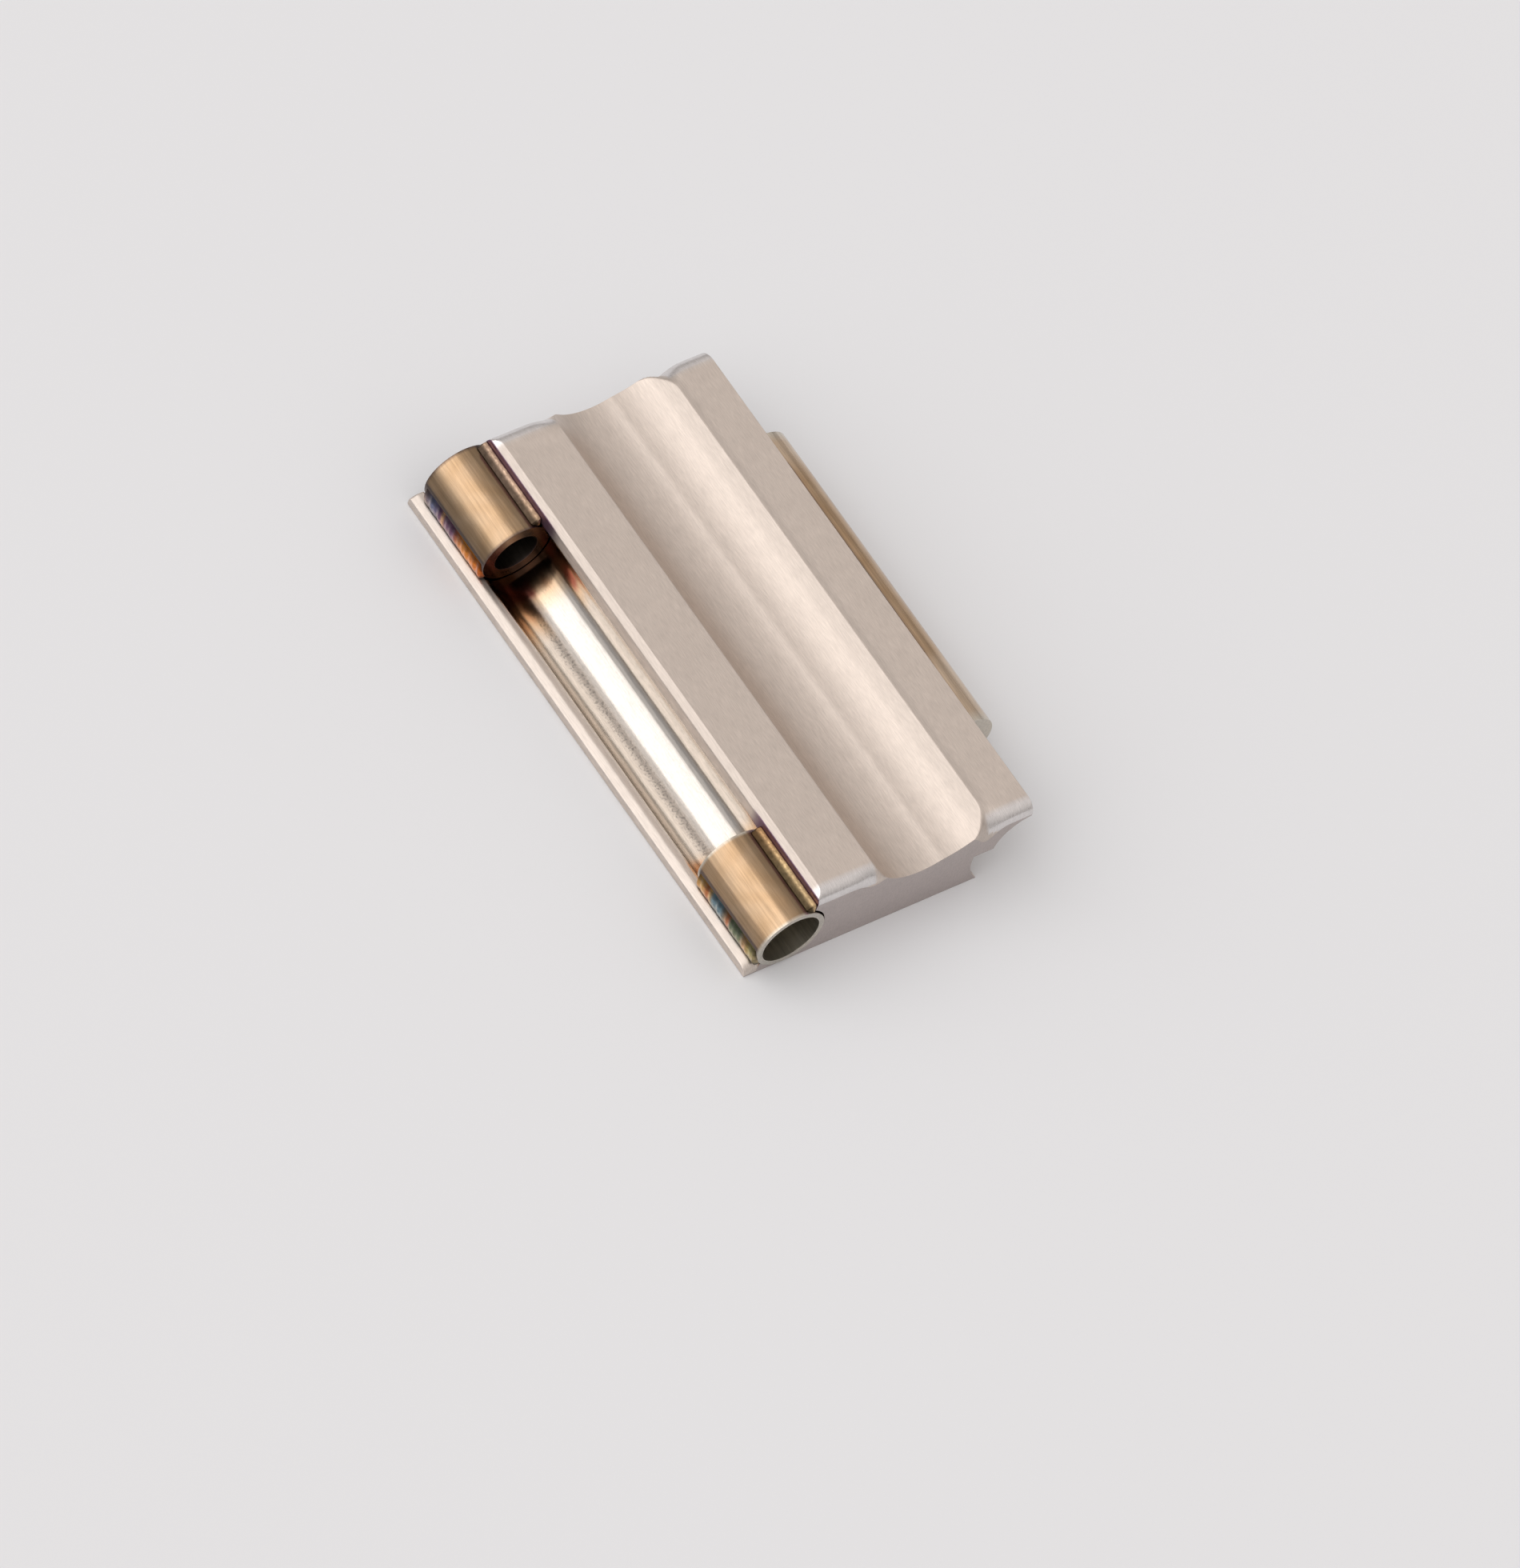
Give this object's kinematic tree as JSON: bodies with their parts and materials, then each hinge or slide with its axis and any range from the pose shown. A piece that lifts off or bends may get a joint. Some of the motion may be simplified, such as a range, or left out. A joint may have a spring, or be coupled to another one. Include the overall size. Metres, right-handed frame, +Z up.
{
  "type": "knuckle hinge leaf",
  "caption": "Small fluted steel hinge leaf with welded tube knuckles along both edges, for joining to matching leaves by pins.",
  "frame": {"origin": "under the middle of the leaf's box, on the plane of its flat underside", "axes": "+Y along the knuckle axes from front to rear, +X across the leaf from the lip to the tip, +Z up out of the fluted face"},
  "size_m": [0.012, 0.02, 0.0032],
  "materials": {
    "leaf_steel": "satin stainless steel, brushed along the knuckles, polished seats",
    "knuckle_steel": "stainless tube, straw to brown heat tint",
    "weld_metal": "lumpy weld bead, brown to blue heat tint"
  },
  "bodies": {
    "root": {"leaf_body": "leaf_steel", "front_knuckle_tube": "knuckle_steel", "rear_knuckle_tube": "knuckle_steel", "centre_knuckle_tube": "knuckle_steel", "front_weld_outer": "weld_metal", "front_weld_inner": "weld_metal", "rear_weld_outer": "weld_metal", "rear_weld_inner": "weld_metal", "centre_weld_upper": "weld_metal", "centre_weld_lower": "weld_metal"}
  },
  "joints": []
}
